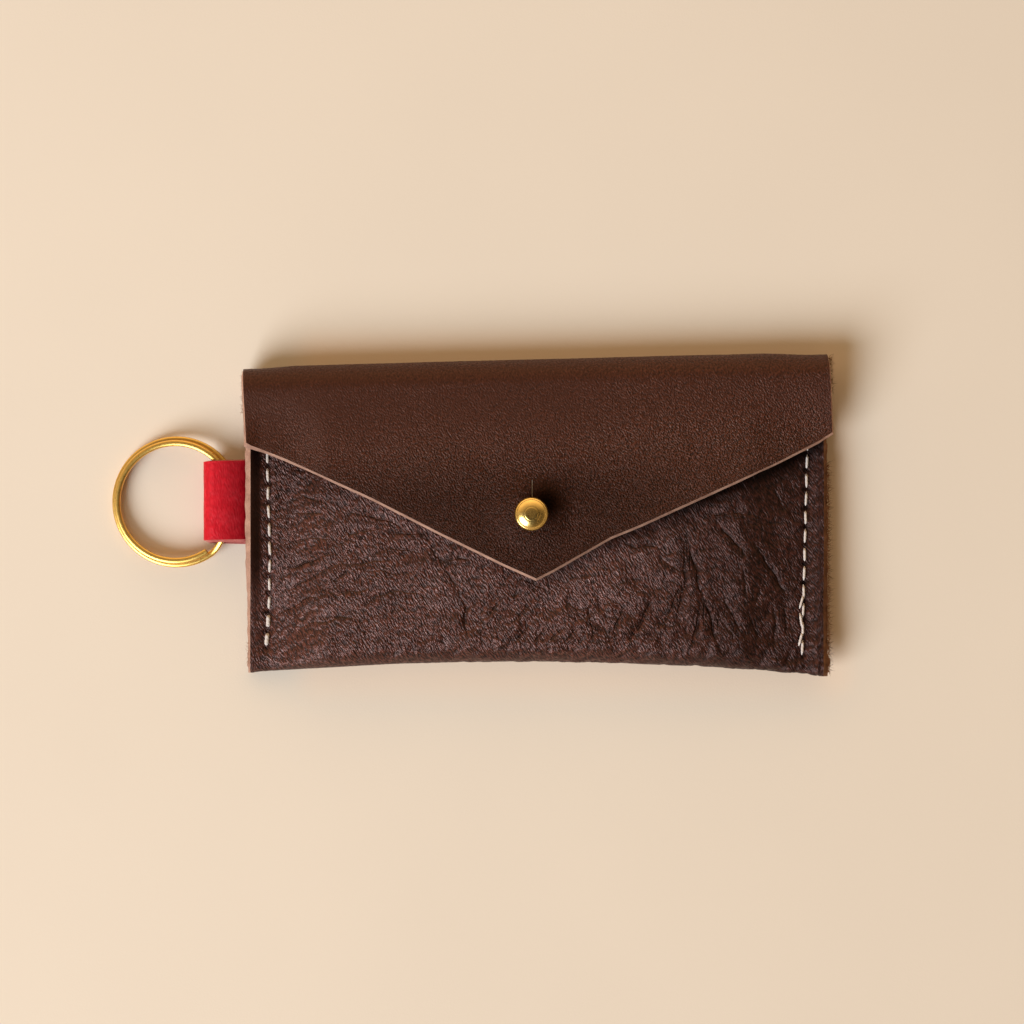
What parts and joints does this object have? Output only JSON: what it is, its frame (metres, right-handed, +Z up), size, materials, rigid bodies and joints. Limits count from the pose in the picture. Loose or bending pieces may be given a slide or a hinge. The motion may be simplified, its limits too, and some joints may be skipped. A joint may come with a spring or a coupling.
{
  "type": "keyring card holder",
  "caption": "Small leather card envelope with a pointed flap closed on a ball stud, and a split ring held in a leather loop at its left seam.",
  "frame": {"origin": "middle of the back panel's flat underside, which rests on the table", "axes": "+X along the pouch's width, away from the ring; +Y towards the top fold; +Z up, out of the front panel"},
  "size_m": [0.1376, 0.061, 0.0146],
  "materials": {
    "brown_leather": "pebbled grain, semi-matte",
    "red_leather": "smooth, semi-matte",
    "gold_plate": "polished gold plate",
    "stud_brass": "polished brass",
    "cream_thread": "waxed cream thread"
  },
  "bodies": {
    "pouch": {"pouch_body": "brown_leather", "top_fold": "brown_leather", "stud": "stud_brass", "stud_screw": "stud_brass", "left_seam_thread": "cream_thread", "right_seam_thread": "cream_thread"},
    "flap": {"flap": "brown_leather", "flap_buttonhole": "brown_leather"},
    "loop": {"loop_tab": "red_leather"},
    "ring": {"split_ring": "gold_plate"}
  },
  "joints": [
    {"name": "flap_fold", "type": "hinge", "parent": "pouch", "child": "flap", "pos_m": [-0.00013, 0.02991, 0.00523], "axis": [-0.9997, -0.0262, 0], "range_deg": [0, 180], "deforming": ["top_fold", "flap_buttonhole"]},
    {"name": "loop_bend", "type": "hinge", "parent": "pouch", "child": "loop", "pos_m": [-0.0575, 0.0026, 0.00381], "axis": [0, 1, 0], "range_deg": [-90, 90], "deforming": ["loop_tab"]},
    {"name": "ring_slide_round", "type": "hinge", "parent": "loop", "child": "ring", "pos_m": [-0.06902, 0.0026, 0.00251], "axis": [-0.1123, 0, 0.9937], "continuous": true}
  ]
}
